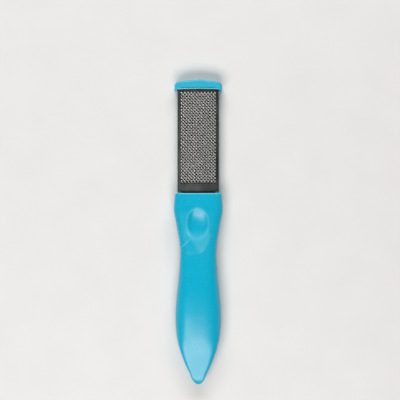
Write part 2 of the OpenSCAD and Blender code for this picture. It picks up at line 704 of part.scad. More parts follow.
module end_cap() {
    inner_bend = plate_bend + fit_clr;
    lip_r = arch_r(cap_inner_w, lip_arch);
    color("#2db4d3")
        difference() {
            union() {
                difference() {
                    intersection() {
                        linear_extrude(cap_top_z)
                            polygon(concat(arched(cap_w, cap_end_y, cap_arch, cap_corner_r),
                                           [[cap_w / 2, ear_y], [-cap_w / 2, ear_y]]));
                        along_y(ear_y, cap_end_y)
                            polygon(concat(arched(cap_w, cap_top_z, plate_rise, cap_edge_r),
                                           [[cap_w / 2, cap_bevel], [cap_w / 2 - cap_bevel, 0],
                                            [cap_bevel - cap_w / 2, 0], [-cap_w / 2, cap_bevel]]));
                    }
                    along_y(ear_y - over, pocket_y)
                        polygon(concat(arched(cap_inner_w, plate_top_z + fit_clr, plate_rise, inner_bend),
                                       [[cap_inner_w / 2, cap_floor], [-cap_inner_w / 2, cap_floor]]));
                }
                snap(snap_r);
            }
            // the lip's curved edge, between the ears
            translate([0, 0, -over])
                linear_extrude(cap_top_z + 2 * over)
                    intersection() {
                        translate([0, lip_y - lip_r])
                            circle(r = lip_r, $fn = 256);
                        translate([-cap_inner_w / 2, ear_y - over])
                            square([cap_inner_w, cap_len]);
                    }
            // the shallow groove along the lip
            difference() {
                translate([-groove_len / 2, lip_y + groove_from_lip, plate_top_z])
                    cube([groove_len, groove_w, cap_top_z]);
                along_y(ear_y, cap_end_y)
                    polygon(concat(arched(cap_w, cap_top_z - groove_depth, plate_rise, cap_edge_r),
                                   [[cap_w / 2, 0], [-cap_w / 2, 0]]));
            }
        }
}

// Emery side
emery_y0 = mouth_y + emery_margin;
emery_y1 = ear_y - emery_margin;

module rounded_sheet(w, y0, y1, r, t) {
    linear_extrude(t) {
        translate([-w / 2 + r, y0])
            square([w - 2 * r, y1 - y0]);
        translate([-w / 2, y0 + r])
            square([w, y1 - y0 - 2 * r]);
        for (x = [r - w / 2, w / 2 - r], y = [y0 + r, y1 - r])
            translate([x, y])
                circle(r = r, $fn = 48);
    }
}

module emery_sheet() {
    color("#8a8f94")
        translate([0, 0, core_z - tape_t - emery_t])
            rounded_sheet(emery_w, emery_y0, emery_y1, emery_corner_r, emery_t);
}

module adhesive_tape() {
    color("#e8e2d0")
        translate([0, 0, core_z - tape_t])
            rounded_sheet(emery_w - 2 * tape_inset, emery_y0 + tape_inset, emery_y1 - tape_inset,
                          emery_corner_r - tape_inset, tape_t);
}

handle_front();
handle_back();
rasp_core();
rasp_plate();
end_cap();
emery_sheet();
adhesive_tape();
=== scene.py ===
import random
from math import asin, cos, exp, hypot, pi, sin, sqrt

import bmesh
import bpy
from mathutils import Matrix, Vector


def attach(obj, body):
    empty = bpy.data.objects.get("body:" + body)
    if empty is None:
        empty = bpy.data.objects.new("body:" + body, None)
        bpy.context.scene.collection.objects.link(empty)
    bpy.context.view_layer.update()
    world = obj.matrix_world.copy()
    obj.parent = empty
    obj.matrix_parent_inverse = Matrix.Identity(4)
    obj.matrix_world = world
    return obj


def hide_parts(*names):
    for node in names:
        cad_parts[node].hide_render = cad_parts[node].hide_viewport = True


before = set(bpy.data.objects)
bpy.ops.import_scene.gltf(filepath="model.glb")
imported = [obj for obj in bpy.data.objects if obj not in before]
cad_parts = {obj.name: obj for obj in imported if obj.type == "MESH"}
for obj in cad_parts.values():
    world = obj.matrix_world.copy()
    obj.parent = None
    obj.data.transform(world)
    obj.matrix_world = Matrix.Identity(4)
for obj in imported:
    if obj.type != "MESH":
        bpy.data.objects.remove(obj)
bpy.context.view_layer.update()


# Studio
# A pale matt table that curls up far away, so that low views see it too. The file lies on its emery
# side and is seen from straight above, with the cap up, as it was photographed.
MM = 0.001
CREASE = 50
TABLE_RINGS, TABLE_SIDES, CURL_R, CURL_STEPS = (300, 600, 900, 1200), 96, 700, 12
MOTTLE = 25
SKY_STRENGTH = 0.04


def linear(hex_colour):
    """A '#rrggbb' sRGB colour as linear RGBA."""
    parts = [int(hex_colour[i:i + 2], 16) / 255 for i in (1, 3, 5)]
    return [c / 12.92 if c <= 0.04045 else ((c + 0.055) / 1.055) ** 2.4 for c in parts] + [1]


def add_node(tree, kind, sockets=None, stops=(), **settings):
    """A shader node. A socket's value is a number, a colour or another node's output, and stops are
    the (place, colour) pairs of a colour ramp."""
    made = tree.nodes.new(kind)
    for name, value in settings.items():
        setattr(made, name, value)
    for socket, value in (sockets or {}).items():
        if isinstance(value, bpy.types.NodeSocket):
            tree.links.new(value, made.inputs[socket])
        else:
            made.inputs[socket].default_value = value
    for k, (place, colour) in enumerate(stops):
        elements = made.color_ramp.elements
        element = elements[k] if k < len(elements) else elements.new(place)
        element.position = place
        element.color = colour
    return made


def new_finish(name):
    """A material with an empty node tree but for its output, and its place in the object in metres."""
    finish = bpy.data.materials.new(name)
    finish.use_nodes = True
    tree = finish.node_tree
    tree.nodes.clear()
    output = add_node(tree, "ShaderNodeOutputMaterial")
    place = add_node(tree, "ShaderNodeTexCoord").outputs["Object"]
    return finish, tree, output.inputs["Surface"], place


def make_piece(name, shape, finish, marks=None):
    """An object made from a bmesh in millimetres, shaded smooth but for edges sharper than CREASE degrees.
    Marks are a name and a value for each point, for the finish to read."""
    shape.normal_update()
    for face in shape.faces:
        face.smooth = True
    for edge in shape.edges:
        edge.smooth = edge.calc_face_angle(0) < CREASE * pi / 180
    bmesh.ops.scale(shape, vec=(MM, MM, MM), verts=shape.verts)
    mesh = bpy.data.meshes.new(name)
    shape.to_mesh(mesh)
    shape.free()
    if marks:
        mesh.attributes.new(marks[0], "FLOAT", "POINT").data.foreach_set("value", marks[1])
    mesh.materials.append(finish)
    piece = bpy.data.objects.new(name, mesh)
    bpy.context.scene.collection.objects.link(piece)
    return piece


# Matt table paint: rolled on, so it has a faint mottle and next to no gloss
table_paint, tree, surface, place = new_finish("rolled_matt_paint")
mottle = add_node(tree, "ShaderNodeTexNoise", {"Vector": place, "Scale": 1 / (MOTTLE * MM), "Detail": 3})
tint = add_node(tree, "ShaderNodeValToRGB", {"Fac": mottle.outputs["Fac"]},
                stops=[(0.3, linear("#dedcda")), (0.7, linear("#e1dfdd"))])
skin = add_node(tree, "ShaderNodeBsdfPrincipled", {"Base Color": tint.outputs["Color"], "Roughness": 0.9})
tree.links.new(skin.outputs["BSDF"], surface)

table = bmesh.new()
curl_turns = [a * pi / (2 * CURL_STEPS) for a in range(1, CURL_STEPS + 1)]
profile = [(r, 0) for r in TABLE_RINGS]
profile += [(TABLE_RINGS[-1] + CURL_R * sin(a), CURL_R * (1 - cos(a))) for a in curl_turns]
table_turns = [2 * pi * k / TABLE_SIDES for k in range(TABLE_SIDES)]
rings = [[table.verts.new((r * cos(a), r * sin(a), z)) for a in table_turns] for r, z in profile]
middle = table.verts.new((0, 0, 0))
for k in range(TABLE_SIDES):
    n = (k + 1) % TABLE_SIDES
    table.faces.new((middle, rings[0][k], rings[0][n]))
    for low, high in zip(rings, rings[1:]):
        table.faces.new((low[k], high[k], high[n], low[n]))
make_piece("table", table, table_paint)

# The photograph shows 0.591 mm a pixel at the handle's widest line, and its middle lies at VIEW_AT
PIXELS, PIXEL = 400, 0.591
VIEW_AT, CAMERA_HEIGHT, SENSOR_W = (1.0, 18.9, 6.2), 1000, 36
lens = bpy.data.cameras.new("camera")
lens.sensor_width = SENSOR_W
lens.lens = SENSOR_W * CAMERA_HEIGHT / (PIXELS * PIXEL)
camera = bpy.data.objects.new("camera", lens)
camera.location = (VIEW_AT[0] * MM, VIEW_AT[1] * MM, (VIEW_AT[2] + CAMERA_HEIGHT) * MM)
bpy.context.scene.collection.objects.link(camera)
bpy.context.scene.camera = camera


def softbox(name, place, size, power):
    """A soft rectangular lamp that faces the file. Its place and size are in metres."""
    lamp = bpy.data.lights.new(name, "AREA")
    lamp.shape = "RECTANGLE"
    lamp.size, lamp.size_y = size
    lamp.energy = power
    made = bpy.data.objects.new(name, lamp)
    made.location = place
    made.rotation_euler = (-Vector(place)).to_track_quat("-Z", "Y").to_euler()
    bpy.context.scene.collection.objects.link(made)


softbox("front_softbox", (-0.14, -0.57, 0.81), (0.95, 0.45), 9.8)
softbox("back_softbox", (0.0, 0.86, 0.56), (1.0, 0.3), 8.6)

world = bpy.data.worlds.new("studio")
bpy.context.scene.world = world
world.use_nodes = True
sky = world.node_tree.nodes["Background"].inputs
sky["Color"].default_value = linear("#e8ecf0")
sky["Strength"].default_value = SKY_STRENGTH
bpy.context.scene.view_settings.view_transform = "Standard"


# Handle shells
# Two moulded ABS halves with a 2.2 mm wall, glued along a flat parting line. The front one carries
# the oval thumb rest with a tongue-shaped swell below it. Both close round the carrier's tang at the mouth.
TAIL_Y, MOUTH_Y = -90, 23
HANDLE_LEN = MOUTH_Y - TAIL_Y
PARTING_Z = 6.2
PALM_W, SHOULDER_W, WAIST_W, MOUTH_W = 26.9, 28.9, 21.3, 27.4
PALM_FRONT, PALM_BACK = 8.3, 6.2
TAIL_ROUND, MOUTH_EDGE_LEN, MOUTH_EDGE_DROP, SEAM_R = 4.5, 0.7, 0.38, 0.2
SHELL_WALL, MOUTH_WALL, TAIL_SOLID = 2.2, 2.5, 14
HOLLOW_Y0, HOLLOW_Y1 = TAIL_Y + TAIL_SOLID, MOUTH_Y - MOUTH_WALL
SLOT_HALF_W, SLOT_HALF_H = 6.2, 2.15

# Stations from the tail, at 0, to the mouth, at 1: half widths, heights of the two halves, and how
# square their sections are, where 2 is an ellipse
HALF_WIDTHS = [(0, 0.24 * PALM_W / 2), (0.045, 0.335 * PALM_W / 2), (0.1, 0.555 * PALM_W / 2),
               (0.155, 0.735 * PALM_W / 2), (0.205, 0.865 * PALM_W / 2), (0.27, 0.965 * PALM_W / 2),
               (0.35, PALM_W / 2), (0.69, WAIST_W / 2), (0.825, 0.88 * SHOULDER_W / 2),
               (0.92, SHOULDER_W / 2), (1, MOUTH_W / 2)]
FRONT_HEIGHTS = [(0, 1.5), (0.14, 0.52 * PALM_FRONT), (0.205, 0.69 * PALM_FRONT), (0.26, 0.82 * PALM_FRONT),
                 (0.32, 0.92 * PALM_FRONT), (0.38, 0.98 * PALM_FRONT), (0.44, PALM_FRONT), (0.69, 5.7),
                 (0.9, 6.1), (1, 4.9)]
BACK_HEIGHTS = [(0, 2.2), (0.17, 0.78 * PALM_BACK), (0.37, PALM_BACK), (0.69, 5), (1, 5.4)]
FRONT_SQUARES = [(0, 5), (0.15, 4.8), (0.205, 3.8), (0.26, 2.7), (0.32, 2.5), (0.5, 2.5), (0.69, 3), (1, 4)]
BACK_SQUARES = [(0, 2.5), (1, 2.5)]

# The thumb rest. The tongue's arcs, edge and reach are given from the scoop's middle
THUMB_X, THUMB_Y, THUMB_W, THUMB_LEN = -0.4, MOUTH_Y - 17.7, 11.8, 17.2
THUMB_DEPTH, THUMB_SLOPE, THUMB_ROUND, FLOOR_BLEND, FLOOR_LEAN = 1.5, 0.72, 2.4, 0.35, 0.06
RIM_H, RIM_W, RIM_LESS_AT_ENDS, RIM_LESS_ON_TONGUE = 0.18, 1.2, 0.6, 0.6
TONGUE_ARC, TONGUE_ARC_R = (-4.6, -6.3), 12.9
TONGUE_END, TONGUE_END_R = (0.3, -7.2), 12.3
TONGUE_EDGE, TONGUE_EDGE_LEAN = (-5.7, -10.35), (-0.72, 0.694)
TONGUE_H, TONGUE_LOW_Y, TONGUE_FALL, TONGUE_RISE = 0.55, -18.8, 0.07, 8
TONGUE_TOP_BLEND, TONGUE_BEVEL, TONGUE_BEVEL_BLEND = 0.15, 0.5, 0.1
EDGE_RIDGE_H, EDGE_RIDGE_W = 0.07, 0.9

# Painted highlights: pale colour on the scoop's rim, the tongue and the mouth's edge, standing in for the
# lamps' glints. The rim's spread, place and paleness are given for its sides, with what its low end and its top
# end add. The tongue is painted pale to the right of a slanting line
RIM_HIGHLIGHT = (0.5, 0.5, -0.15), (0.55, 0, -0.45), (0.32, 0.23, 0.3)
EDGE_HIGHLIGHT, TONGUE_HIGHLIGHT, HIGHLIGHT_LINE_LEAN, HIGHLIGHT_LINE_Y = 0.45, 0.32, 0.65, -15.8
MOUTH_HIGHLIGHT_FROM, MOUTH_HIGHLIGHT_BLEND, HIGHLIGHT_ABOVE_PARTING = -0.62, 0.2, 2

# How close the meshes' points lie
FRONT_COLUMNS, BACK_COLUMNS, INNER_COLUMNS, INNER_EVERY = 110, 64, 24, 8
TAIL_STEPS, MOUTH_STEPS, SEAM_PLACES = 10, 5, (0.12, 0.3, 0.6)
FINE_Y0, FINE_Y1 = -14, 16
FRONT_STEP, FINE_STEP, SHOULDER_STEP, BACK_STEP = 0.8, 0.3, 0.6, 1
NEAR = 0.01


def curve(stations, place):
    """A smooth line through (place, value) stations, level wherever it turns back."""
    i = 0
    while i < len(stations) - 2 and place > stations[i + 1][0]:
        i += 1
    chords = [(b[1] - a[1]) / (b[0] - a[0]) for a, b in zip(stations, stations[1:])]

    def lean(k):
        if k in (0, len(chords)):
            return chords[min(k, len(chords) - 1)]
        before, after = chords[k - 1], chords[k]
        return 2 * before * after / (before + after) if before * after > 0 else 0

    reach = stations[i + 1][0] - stations[i][0]
    q = (place - stations[i][0]) / reach
    r = 1 - q
    return (stations[i][1] * r * r * (1 + 2 * q) + stations[i + 1][1] * q * q * (3 - 2 * q)
            + reach * q * r * (lean(i) * r - lean(i + 1) * q))


def clamped(q):
    return min(1, max(0, q))


def handle_size(stations, y):
    """Half width or height of the handle at y, with its round tail and the mouth's soft edge."""
    tail = min(1, (y - TAIL_Y) / TAIL_ROUND)
    edge = clamped((y - MOUTH_Y + MOUTH_EDGE_LEN) / MOUTH_EDGE_LEN)
    size = curve(stations, (y - TAIL_Y) / HANDLE_LEN)
    return size * sqrt(1 - (1 - tail) ** 2) - MOUTH_EDGE_DROP * edge * edge


def fade(value, start, reach):
    """0 up to start, and from there smoothly up to 1 within the reach."""
    q = clamped((value - start) / reach)
    return q * q * (3 - 2 * q)


def bell(distance, spread):
    """1 at no distance, falling away smoothly to both sides."""
    return exp(-(distance / spread) ** 2)


def soft_min(a, b, blend):
    """The smaller of two heights, rounded over where they meet."""
    q = clamped(0.5 + (b - a) / (2 * blend))
    return b + (a - b) * q - blend * q * (1 - q)


def from_tongue_edges(dx, dy):
    """Distances inside the tongue's arc on the right, its lower end and its slanting upper left edge."""
    return (TONGUE_ARC_R - hypot(dx - TONGUE_ARC[0], dy - TONGUE_ARC[1]),
            TONGUE_END_R - hypot(dx - TONGUE_END[0], dy - TONGUE_END[1]),
            -(dx - TONGUE_EDGE[0]) * TONGUE_EDGE_LEAN[0] - (dy - TONGUE_EDGE[1]) * TONGUE_EDGE_LEAN[1])


def from_rim(dx, dy):
    """Distance outside the scoop's edge."""
    return (hypot(2 * dx / THUMB_W, 2 * dy / THUMB_LEN) - 1) * THUMB_W / 2


def tongue(dx, dy):
    """The low swell that falls away evenly below the scoop and starts from nothing at its slanting edge."""
    arc, end, edge = from_tongue_edges(dx, dy)
    if min(arc, end, edge) < 0:
        return 0
    top = soft_min(TONGUE_FALL * (dy - TONGUE_LOW_Y), TONGUE_H, TONGUE_TOP_BLEND) * fade(edge, 0, TONGUE_RISE)
    return soft_min(top, TONGUE_BEVEL * min(arc, end), TONGUE_BEVEL_BLEND) * fade(-dy, 1.5, 6)


def thumb_relief(x, y):
    """The flat-bottomed scoop, its thin round rim, and the tongue that runs out below it."""
    dx, dy = x - THUMB_X, y - THUMB_Y
    u, v = 2 * dx / THUMB_W, 2 * dy / THUMB_LEN
    d = hypot(u, v)
    scoop = 0
    if d < 1:
        # the ends slope down to a floor that lies a little deeper on the left in its upper half
        floor = (FLOOR_LEAN * dx * fade(dy, -3, 9)
                 - THUMB_DEPTH * soft_min((1 - abs(v)) / THUMB_SLOPE, 1, FLOOR_BLEND))
        scoop = floor * (1 - (abs(u) / sqrt(1 - v * v)) ** THUMB_ROUND)
    swell = tongue(dx, dy) * fade(d, 0.94, 0.16)
    rim = RIM_H * bell(from_rim(dx, dy) - RIM_W / 2, RIM_W / 2) * (1 - RIM_LESS_AT_ENDS * fade(abs(dy), 5, 3))
    rim *= 1 - RIM_LESS_ON_TONGUE * fade(swell, 0, 0.4)
    arc, end, edge = from_tongue_edges(dx, dy)
    ridge = EDGE_RIDGE_H * bell(edge, EDGE_RIDGE_W / 2) * fade(end, -1, 2) * fade(-dy, 7, 3)
    return scoop + rim + ridge + swell


def painted_highlight(x, y):
    """How far a place is painted pale as a highlight, 0 to 1: the scoop's rim, the tongue and the mouth's edge.
    """
    dx, dy = x - THUMB_X, y - THUMB_Y
    low_end, top_end = fade(-dy, 0, 7), fade(dy, 4, 4)
    spread, place, paleness = (sides + low * low_end + top * top_end for sides, low, top in RIM_HIGHLIGHT)
    on_rim = paleness * bell(from_rim(dx, dy) - place * RIM_W, spread * RIM_W)
    arc, end, edge = from_tongue_edges(dx, dy)
    on_edge = EDGE_HIGHLIGHT * bell(edge, EDGE_RIDGE_W / 2) * fade(end, -0.5, 1.5)
    past_line = dx + HIGHLIGHT_LINE_LEAN * (dy - HIGHLIGHT_LINE_Y)
    on_top = TONGUE_HIGHLIGHT * fade(min(arc, end), -0.48, 1.2) * fade(past_line, -1.7, 3.4)
    at_mouth = fade(y - MOUTH_Y, MOUTH_HIGHLIGHT_FROM, MOUTH_HIGHLIGHT_BLEND)
    return max(on_rim, fade(-dy, 4, 4) * max(on_edge, on_top), at_mouth)


def spaced(a, b, step):
    """Places from a, left out, to b in even steps of about that length."""
    count = max(1, round((b - a) / step))
    return [a + (b - a) * (i + 1) / count for i in range(count)]


def shell_rows(*stops):
    """Rows from the tail to the mouth, close at both ends, with (end, step) stops between them."""
    rows = [TAIL_Y + TAIL_ROUND * (1 - cos(pi / 2 * i / TAIL_STEPS)) for i in range(1, TAIL_STEPS + 1)]
    for end, step in stops:
        rows += spaced(rows[-1], end, step)
    return rows + [MOUTH_Y - MOUTH_EDGE_LEN * (1 - i / MOUTH_STEPS) for i in range(1, MOUTH_STEPS + 1)]


def half_shell(heights, squares, rows, columns, relief, side):
    """One half of the handle as a closed solid: side is 1 for the front and -1 for the back."""
    shape = bmesh.new()
    points = {}

    def vert(x, y, z):
        key = (round(x, 5), round(y, 5), round(z, 5))
        if key not in points:
            points[key] = shape.verts.new((x, y, PARTING_Z + side * z))
        return points[key]

    def section(y, wall, count):
        """Points of the section from right to left, wall inside the skin, close at the parting line."""
        w, h = handle_size(HALF_WIDTHS, y) - wall, handle_size(heights, y) - wall
        square = curve(squares, (y - TAIL_Y) / HANDLE_LEN)
        turns = [pi * k / count for k in range(1, count)]
        line = [(w * cos(t), h * (1 - abs(cos(t)) ** square) ** (1 / square)) for t in turns]
        close = [q * line[0][1] for q in SEAM_PLACES]
        edge = [(w, 0)] + [(w * (1 - (z / h) ** square) ** (1 / square), z) for z in close]
        return edge + line + [(-x, z) for x, z in reversed(edge)]

    def skin(y):
        """A row of the outer skin, rounded in at the parting line."""
        seam = min(SEAM_R, handle_size(HALF_WIDTHS, y) / 4)
        made = []
        for x, z in section(y, 0, columns):
            inset = seam * (1 - sqrt(1 - max(0, 1 - z / seam) ** 2))
            lift = relief(x, y) if z > 0 else 0
            made.append(vert(x - inset * (1 if x > 0 else -1), y, z + lift))
        return made

    outer = [skin(y) for y in rows]
    first = min(j for j, y in enumerate(rows) if y >= HOLLOW_Y0 - NEAR)
    last = max(j for j, y in enumerate(rows) if y <= HOLLOW_Y1 + NEAR)
    hollow_rows = sorted({*range(first, last, INNER_EVERY), last})
    inner = [[vert(x, rows[j], z) for x, z in section(rows[j], SHELL_WALL, INNER_COLUMNS)]
             for j in hollow_rows]
    for grid in (outer, inner):
        for a, b in zip(grid, grid[1:]):
            for k in range(len(a) - 1):
                shape.faces.new((a[k], a[k + 1], b[k + 1], b[k]))
    pole = vert(0, TAIL_Y, 0)
    for k in range(len(outer[0]) - 1):
        shape.faces.new((pole, outer[0][k + 1], outer[0][k]))

    # flat faces along the parting line, round the hollow
    right, left = [row[0] for row in outer], [row[-1] for row in outer]
    shape.faces.new([pole, *right[:first + 1], inner[0][0], inner[0][-1], *left[first::-1]])
    for (a, b), near, far in zip(zip(hollow_rows, hollow_rows[1:]), inner, inner[1:]):
        shape.faces.new([*right[a:b + 1], far[0], near[0]])
        shape.faces.new([*left[a:b + 1], far[-1], near[-1]])
    # the slot for the tang, through the wall at the mouth
    slot = [[vert(x, y, z) for x, z in ((SLOT_HALF_W, 0), (SLOT_HALF_W, SLOT_HALF_H),
                                        (-SLOT_HALF_W, SLOT_HALF_H), (-SLOT_HALF_W, 0))]
            for y in (rows[last], MOUTH_Y)]
    shape.faces.new([*right[last:], slot[1][0], slot[0][0], inner[-1][0]])
    shape.faces.new([*left[last:], slot[1][3], slot[0][3], inner[-1][-1]])
    for k in range(3):
        shape.faces.new((slot[0][k], slot[0][k + 1], slot[1][k + 1], slot[1][k]))
    shape.faces.new([*outer[-1], *reversed(slot[1])])
    shape.faces.new([*inner[-1], *reversed(slot[0])])
    shape.faces.new(inner[0])
    bmesh.ops.recalc_face_normals(shape, faces=shape.faces)
    return shape


# Satin ABS, moulded in a spark-eroded mould: an even fine grain that breaks up the reflections, over
# a slow change of gloss where the melt flowed. Its highlights are a little warm, and sparse pale flecks,
# painted glints, keep large faces from looking evenly coloured. Grain and glints are drawn coarser than they
# are
GRAIN_W, GRAIN_DEPTH, FLOW_W, GLINT_W = 0.45, 0.012, 16, 0.8


def moulded_abs(name, colour, deep, pale, roughness, highlight_colour=None):
    finish, tree, surface, place = new_finish(name)
    grain = add_node(tree, "ShaderNodeTexNoise", {
        "Vector": place, "Scale": 1 / (GRAIN_W * MM), "Detail": 2, "Roughness": 0.6}).outputs["Fac"]
    tone = add_node(tree, "ShaderNodeValToRGB", {"Fac": grain}, stops=[
        (0.32, linear(deep)), (0.5, linear(colour)), (0.72, linear(pale))]).outputs["Color"]
    bump = add_node(tree, "ShaderNodeBump", {
        "Height": grain, "Strength": 0.5, "Distance": GRAIN_DEPTH * MM})
    flow = add_node(tree, "ShaderNodeTexNoise", {"Vector": place, "Scale": 1 / (FLOW_W * MM), "Detail": 2})
    gloss = add_node(tree, "ShaderNodeMapRange", {
        "Value": flow.outputs["Fac"], "From Min": 0.3, "From Max": 0.7,
        "To Min": roughness - 0.03, "To Max": roughness + 0.04})
    # painted glints: sparse pale flecks where this noise runs high
    glint_noise = add_node(tree, "ShaderNodeTexNoise", {
        "Vector": place, "Scale": 1 / (GLINT_W * MM), "Detail": 1})
    painted_glints = add_node(tree, "ShaderNodeMapRange", {
        "Value": glint_noise.outputs["Fac"], "From Min": 0.63, "From Max": 0.8, "To Min": 0, "To Max": 0.08})
    tone = add_node(tree, "ShaderNodeMix", {
        "Factor": painted_glints.outputs["Result"], "A": tone, "B": linear("#f4fafb")},
        data_type="RGBA").outputs["Result"]
    # painted highlight: the marks mix the tone towards a pale colour
    if highlight_colour:
        highlight_mark = add_node(tree, "ShaderNodeAttribute", attribute_name="painted_highlight").outputs["Fac"]
        tone = add_node(tree, "ShaderNodeMix", {"Factor": highlight_mark, "A": tone, "B": linear(highlight_colour)},
                        data_type="RGBA").outputs["Result"]
    skin = add_node(tree, "ShaderNodeBsdfPrincipled", {
        "Base Color": tone, "Roughness": gloss.outputs["Result"], "Normal": bump.outputs["Normal"],
        "IOR": 1.53, "Specular Tint": linear("#fff0e2")})
    tree.links.new(skin.outputs["BSDF"], surface)
    return finish


# the last colour is the pale one painted over the front shell's highlight marks
handle_abs = moulded_abs("satin_moulded_abs", "#00a9c9", "#00a2c4", "#00b0ce", 0.29, highlight_colour="#5cc3da")

soft_mouth_y = MOUTH_Y - MOUTH_EDGE_LEN
front_rows = shell_rows((HOLLOW_Y0, FRONT_STEP), (FINE_Y0, FRONT_STEP), (FINE_Y1, FINE_STEP),
                        (HOLLOW_Y1, SHOULDER_STEP), (soft_mouth_y, SHOULDER_STEP))
front_shape = half_shell(FRONT_HEIGHTS, FRONT_SQUARES, front_rows, FRONT_COLUMNS, thumb_relief, 1)
# painted highlight marks on the front skin, above the parting line
highlight_marks = [painted_highlight(v.co.x, v.co.y) if v.co.z > PARTING_Z + HIGHLIGHT_ABOVE_PARTING else 0 for v in front_shape.verts]
front_shell = make_piece("front_shell", front_shape, handle_abs, marks=("painted_highlight", highlight_marks))
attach(front_shell, "root")
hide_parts("handle_front")

back_rows = shell_rows((HOLLOW_Y0, BACK_STEP), (HOLLOW_Y1, BACK_STEP), (soft_mouth_y, BACK_STEP))
back_shape = half_shell(BACK_HEIGHTS, BACK_SQUARES, back_rows, BACK_COLUMNS, lambda x, y: 0, -1)
back_shell = make_piece("back_shell", back_shape, handle_abs)
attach(back_shell, "root")
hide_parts("handle_back")


# Carrier
# The moulded ABS bar that holds the plate and the emery sheet. It stays as the CAD made it: lugs at
# the corners of the notch, a foot that shows beside the emery, and a tang inside the handle.
# Boxes of painted shade, given by middle and half size in millimetres: the pocket under the teeth, and the
# notch
POCKET = (0, 53.9, 6.3), (10.7, 27.9, 3)
NOTCH = (0, 24.2, 7.6), (10, 1.3, 1)
SHADE_MOTTLE_W = 1.5


def inside_box(tree, place, middle, half):
    """1 inside a box that is given in millimetres by its middle and half its size, and 0 outside it."""
    offset = add_node(tree, "ShaderNodeVectorMath", {0: place, 1: [c * MM for c in middle]},
                      operation="SUBTRACT").outputs["Vector"]
    offset = add_node(tree, "ShaderNodeVectorMath", {0: offset, 1: [c * MM for c in half]},
                      operation="DIVIDE").outputs["Vector"]
    offset = add_node(tree, "ShaderNodeVectorMath", {0: offset}, operation="ABSOLUTE").outputs["Vector"]
    sides = add_node(tree, "ShaderNodeSeparateXYZ", {"Vector": offset}).outputs
    farthest = sides["X"]
    for side in ("Y", "Z"):
        farthest = add_node(tree, "ShaderNodeMath", {0: farthest, 1: sides[side]},
                            operation="MAXIMUM").outputs["Value"]
    return add_node(tree, "ShaderNodeMath", {0: farthest, 1: 1}, operation="LESS_THAN").outputs["Value"]


# The handle's ABS with a duller skin. Painted shade: the open pocket under the teeth is painted near black,
# so that their holes look dark grey, and so is the notch at the mouth
carrier_abs = moulded_abs("plain_moulded_abs", "#0a9fc0", "#0896b8", "#18a8c6", 0.42)
tree = carrier_abs.node_tree
place = add_node(tree, "ShaderNodeTexCoord").outputs["Object"]
painted_shade_mask = add_node(tree, "ShaderNodeMath", {
    0: inside_box(tree, place, *POCKET), 1: inside_box(tree, place, *NOTCH)}, operation="MAXIMUM")
# the painted shade is mottled near black
shade_mottle = add_node(tree, "ShaderNodeTexNoise", {"Vector": place, "Scale": 1 / (SHADE_MOTTLE_W * MM), "Detail": 4})
painted_shade = add_node(tree, "ShaderNodeValToRGB", {"Fac": shade_mottle.outputs["Fac"]},
                stops=[(0.3, linear("#141516")), (0.7, linear("#2e2d2b"))])
skin = next(n for n in tree.nodes if n.bl_idname == "ShaderNodeBsdfPrincipled")
clean = skin.inputs["Base Color"].links[0].from_socket
mixed = add_node(tree, "ShaderNodeMix", {
    "Factor": painted_shade_mask.outputs["Value"], "A": clean, "B": painted_shade.outputs["Color"]}, data_type="RGBA")
tree.links.new(mixed.outputs["Result"], skin.inputs["Base Color"])
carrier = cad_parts["rasp_core"]
carrier.data.materials.clear()
carrier.data.materials.append(carrier_abs)


# Rasp plate
# Nickel-plated spring steel, 0.5 mm thick: arched, its long edges folded down and hemmed into the
# carrier, one end turned down into the notch. Each tooth is punched up beside the hole it came from.
PLATE_Y0, PLATE_Y1 = 23.9, 87.2
PLATE_W, PLATE_T, PLATE_TOP, PLATE_RISE = 24.8, 0.5, 8.6, 1.3
PLATE_BEND, HEM_BEND, HEM_Z, HEM_W = 1.2, 0.8, 3.2, 1.4
END_FLAT, END_R, END_LEAD, END_DROP, END_HALF_W = 0.8, 0.1, 0.08, 1.5, 9
FIELD_Y0, FIELD_ROWS, FIELD_HALF = 28.9, 54, 11
FIELD_BEFORE, FIELD_AFTER = 0.6, 0.4
TOOTH_H, TOOTH_LEN, TOOTH_ROUND, TOOTH_FRONT, TOOTH_BACK = 0.45, 0.72, 2.4, 0.42, 0.6
HOLE_LEN, HOLE_W, HOLE_SPAN = 0.98, 0.76, 2
GRID, HANDLE_END_STEP, CAP_END_STEP = 0.2, 0.8, 1
PLATE_BEND_STEPS, HEM_STEPS, END_STEPS = 6, 4, 4
THIRDS = 0.66, 0.33
ROLLED_W, ROLLED_LEN, ROLLED_H, CLOUD_W, SCORE_DEPTH = 0.25, 9, 2, 7, 0.01


def arch(w, top, rise, bend):
    """An arch of that width and rise whose ends turn down with the radius bend: its radius, and the
    place, height and lean of the bend's centre."""
    r = (w * w / 4 + rise * rise) / (2 * rise)
    bend_x = w / 2 - bend
    return r, bend_x, top - r + sqrt((r - bend) ** 2 - bend_x ** 2), asin(bend_x / (r - bend))


def tooth_at(i, j):
    """Whether the staggered lattice has a tooth in that column and row, counted in millimetres."""
    return abs(i) < FIELD_HALF and 0 < j < FIELD_ROWS and (i + j) % 2 == 1


def slanted(x, y):
    """A place as lengths along and across the teeth, which lean by 45 degrees."""
    return (x - y) / sqrt(2), (x + y) / sqrt(2)


def burr(x, y):
    """Height of the punched teeth at a place, each a short ridge that leans across its own hole."""
    i, j = round(x), round(y - FIELD_Y0)
    high = 0
    for a in (i - 1, i, i + 1):
        for b in (j - 1, j, j + 1):
            if tooth_at(a, b):
                along, across = slanted(x - a, y - FIELD_Y0 - b)
                reach = TOOTH_FRONT if across < 0 else TOOTH_BACK
                ridge = 1 - min(1, abs(along) / TOOTH_LEN) ** TOOTH_ROUND
                high = max(high, ridge * max(0, 1 - abs(across) / reach))
    return high


